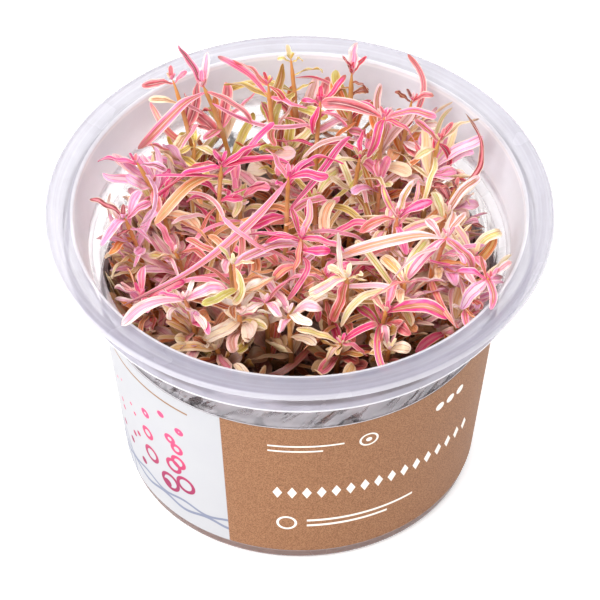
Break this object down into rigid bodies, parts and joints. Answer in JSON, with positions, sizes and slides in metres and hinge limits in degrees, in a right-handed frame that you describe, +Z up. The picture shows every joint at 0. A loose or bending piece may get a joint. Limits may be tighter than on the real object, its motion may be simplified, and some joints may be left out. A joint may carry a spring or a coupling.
{
  "type": "tissue culture cup of narrow-leaved pink hygrophila",
  "caption": "Clear round plastic cup with a wide rim and wrap label, holding gel, a root mat and a dense stand of narrow-leaved pink aquarium plant shoots.",
  "frame": {"origin": "centre of the cup's base, on the surface it stands on", "axes": "+Z up, +Y away from the viewer, +X to the viewer's right; the label's white panel faces front left"},
  "size_m": [0.1, 0.1, 0.0761],
  "materials": {
    "cup": "satin",
    "label": "satin",
    "gel": "gloss",
    "root_mat": "matte",
    "foliage": "satin"
  },
  "bodies": {
    "root": {"cup": "cup", "label": "label", "gel": "gel", "root_mat": "root_mat", "shoot_back_left_tall": "foliage", "shoot_back_olive": "foliage", "shoot_back_small": "foliage", "shoot_left_star": "foliage", "shoot_left_wide": "foliage", "shoot_back_left_low": "foliage", "shoot_left_yellow": "foliage", "shoot_back_trident": "foliage", "shoot_right_back_star": "foliage", "shoot_right_cluster": "foliage", "shoot_right_maroon_curl": "foliage", "shoot_right_back_small": "foliage", "shoot_centre_back": "foliage", "shoot_centre_back_hot": "foliage", "shoot_centre_long_arch": "foliage", "shoot_left_loop": "foliage", "shoot_front_left_pale": "foliage", "shoot_front_cream_tall": "foliage", "shoot_front_pink_arch": "foliage", "shoot_right_hot": "foliage", "shoot_right_front_star": "foliage", "shoot_front_cross": "foliage", "shoot_front_magenta": "foliage", "shoot_right_rim_star": "foliage", "shoot_front_right_broad": "foliage", "shoot_centre_star": "foliage", "shoot_front_right_cream": "foliage", "shoot_young_01": "foliage", "shoot_young_02": "foliage", "shoot_young_03": "foliage", "shoot_young_04": "foliage", "shoot_young_05": "foliage", "shoot_young_06": "foliage", "shoot_young_07": "foliage", "shoot_young_08": "foliage", "shoot_young_09": "foliage", "shoot_young_10": "foliage", "shoot_young_11": "foliage", "shoot_young_12": "foliage", "shoot_young_13": "foliage", "shoot_young_14": "foliage", "shoot_young_15": "foliage", "shoot_young_16": "foliage", "shoot_young_17": "foliage", "shoot_young_18": "foliage", "shoot_young_19": "foliage", "shoot_young_20": "foliage", "shoot_young_21": "foliage"}
  },
  "joints": []
}
